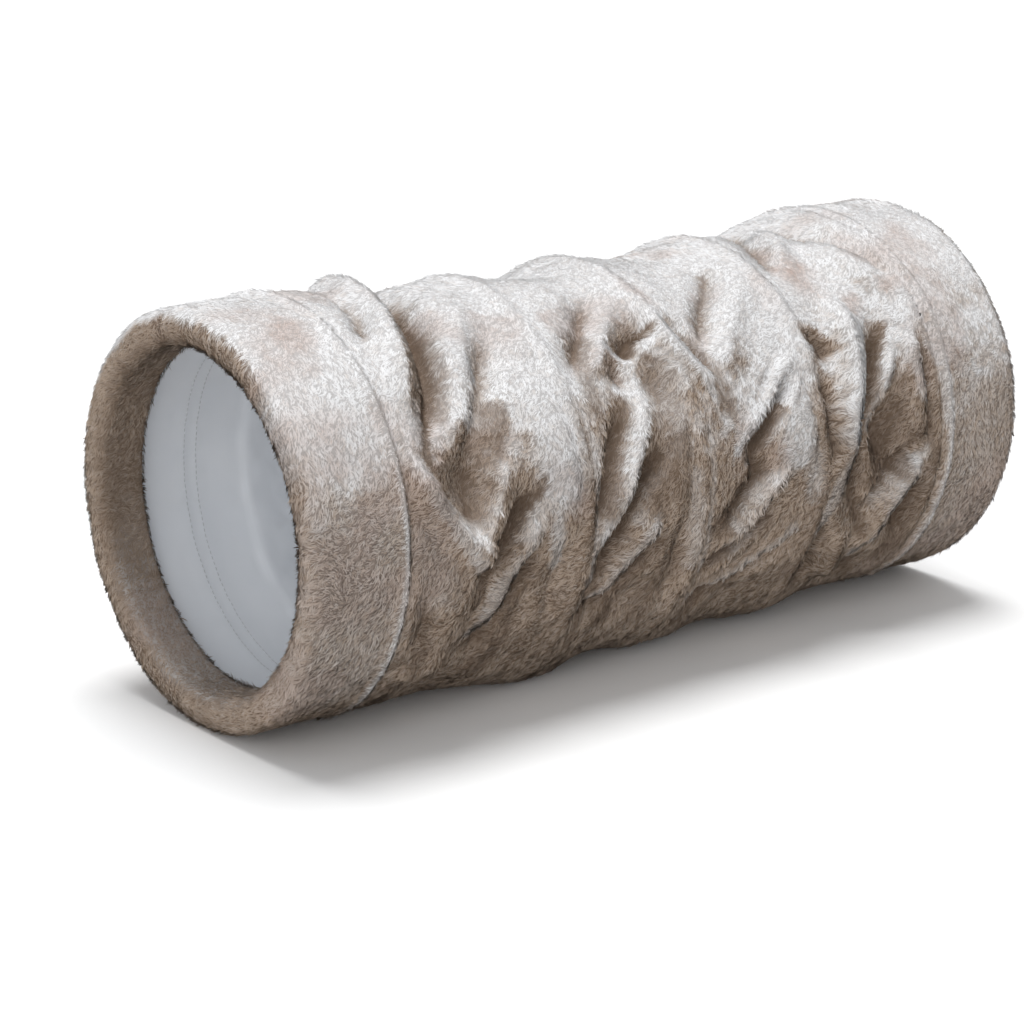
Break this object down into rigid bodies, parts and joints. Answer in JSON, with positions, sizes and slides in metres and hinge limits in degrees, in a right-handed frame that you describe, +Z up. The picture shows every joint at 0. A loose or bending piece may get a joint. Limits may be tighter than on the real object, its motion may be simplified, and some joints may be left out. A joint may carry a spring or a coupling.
{
  "type": "plush cat tunnel",
  "caption": "Collapsible round play tunnel for small pets: wire hoops between a gathered plush sleeve with turned-in cuffs and a smooth lining.",
  "frame": {"origin": "centre of the tunnel's length and width, on the floor it lies on", "axes": "+X along the tunnel, from the front mouth to the rear mouth; +Z up"},
  "size_m": [0.55, 0.25, 0.2489],
  "materials": {
    "plush": "short dense pile, brushed",
    "lining": "smooth woven cloth",
    "crinkle_film": "thin glossy film",
    "casing_tape": "woven tape",
    "spring_steel": "drawn wire",
    "crimp_steel": "zinc plated"
  },
  "bodies": {
    "front_mouth": {"hoop_front_mouth": "spring_steel", "ferrule_front_mouth": "crimp_steel", "front_cuff": "plush", "plush_sleeve": "plush", "crinkle_film": "crinkle_film", "lining_sleeve": "lining"},
    "front_seam": {"hoop_front_seam": "spring_steel", "ferrule_front_seam": "crimp_steel", "casing_front_seam": "casing_tape"},
    "bay_1": {"hoop_bay_1": "spring_steel", "ferrule_bay_1": "crimp_steel", "casing_bay_1": "casing_tape"},
    "bay_2": {"hoop_bay_2": "spring_steel", "ferrule_bay_2": "crimp_steel", "casing_bay_2": "casing_tape"},
    "bay_3": {"hoop_bay_3": "spring_steel", "ferrule_bay_3": "crimp_steel", "casing_bay_3": "casing_tape"},
    "rear_seam": {"hoop_rear_seam": "spring_steel", "ferrule_rear_seam": "crimp_steel", "casing_rear_seam": "casing_tape"},
    "rear_mouth": {"hoop_rear_mouth": "spring_steel", "ferrule_rear_mouth": "crimp_steel", "rear_cuff": "plush"}
  },
  "joints": [
    {"name": "fold_flat", "type": "slide", "parent": "front_mouth", "child": "rear_mouth", "axis": [1, 0, 0], "range_m": [-0.465, 0], "deforming": ["front_cuff", "plush_sleeve", "crinkle_film", "lining_sleeve", "rear_cuff"]},
    {"name": "front_seam_slide", "type": "slide", "parent": "front_mouth", "child": "front_seam", "axis": [1, 0, 0], "range_m": [-0.04886, 0]},
    {"name": "bay_1_slide", "type": "slide", "parent": "front_mouth", "child": "bay_1", "axis": [1, 0, 0], "range_m": [-0.16098, 0]},
    {"name": "bay_2_slide", "type": "slide", "parent": "front_mouth", "child": "bay_2", "axis": [1, 0, 0], "range_m": [-0.23975, 0]},
    {"name": "bay_3_slide", "type": "slide", "parent": "front_mouth", "child": "bay_3", "axis": [1, 0, 0], "range_m": [-0.32771, 0]},
    {"name": "rear_seam_slide", "type": "slide", "parent": "front_mouth", "child": "rear_seam", "axis": [1, 0, 0], "range_m": [-0.41615, 0]}
  ],
  "couplings": [
    {"joint": "front_seam_slide", "follows": "fold_flat", "ratio": 0.10506},
    {"joint": "bay_1_slide", "follows": "fold_flat", "ratio": 0.34618},
    {"joint": "bay_2_slide", "follows": "fold_flat", "ratio": 0.51559},
    {"joint": "bay_3_slide", "follows": "fold_flat", "ratio": 0.70474},
    {"joint": "rear_seam_slide", "follows": "fold_flat", "ratio": 0.89494}
  ]
}
